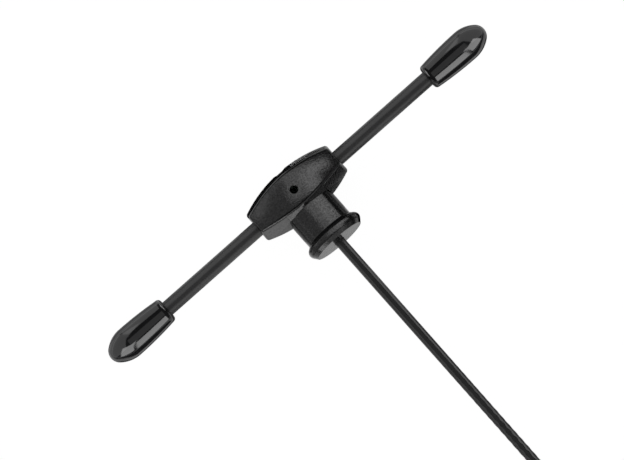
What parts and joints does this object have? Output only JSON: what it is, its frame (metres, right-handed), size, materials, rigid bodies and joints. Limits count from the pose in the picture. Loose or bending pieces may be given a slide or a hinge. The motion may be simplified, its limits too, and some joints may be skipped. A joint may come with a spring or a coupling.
{
  "type": "t-shaped receiver antenna",
  "caption": "Small T-shaped dipole antenna for a radio receiver: moulded centre housing, thin capped arms and a flexible coaxial lead ending in a snap connector.",
  "frame": {"origin": "middle of the flat land at the back of the housing, under the crossing of the arms and the lead", "axes": "+X along the arms, the lead leaves along -Y, +Z out of the front face with the pin hole"},
  "size_m": [0.0622, 0.0802, 0.0081],
  "materials": {
    "housing": "moulded black, fine matte grain",
    "arm_sleeve": "extruded black, satin",
    "end_cap": "soft black, polished",
    "cable_jacket": "black, semi-gloss",
    "spring_wire": "drawn",
    "board": "laminate",
    "solder": "reflowed, bright",
    "braid": "tinned braid",
    "dielectric": "milky white",
    "core": "silvered strand",
    "gilt_shell": "gilt, satin",
    "connector_moulding": "pale moulding"
  },
  "bodies": {
    "root": {"centre_housing": "housing", "arm_sleeve_left": "arm_sleeve", "arm_sleeve_right": "arm_sleeve", "end_cap_left": "end_cap", "end_cap_right": "end_cap", "coax_cable": "cable_jacket", "radiator_wire_left": "spring_wire", "radiator_wire_right": "spring_wire", "feed_board": "board", "wire_solder_left": "solder", "wire_solder_right": "solder", "braid_solder": "solder", "core_solder": "solder", "feed_braid": "braid", "connector_braid": "braid", "feed_dielectric": "dielectric", "connector_dielectric": "dielectric", "feed_core": "core", "connector_core": "core", "connector_shell": "gilt_shell", "connector_contact": "gilt_shell", "connector_insulator": "connector_moulding"}
  },
  "joints": []
}
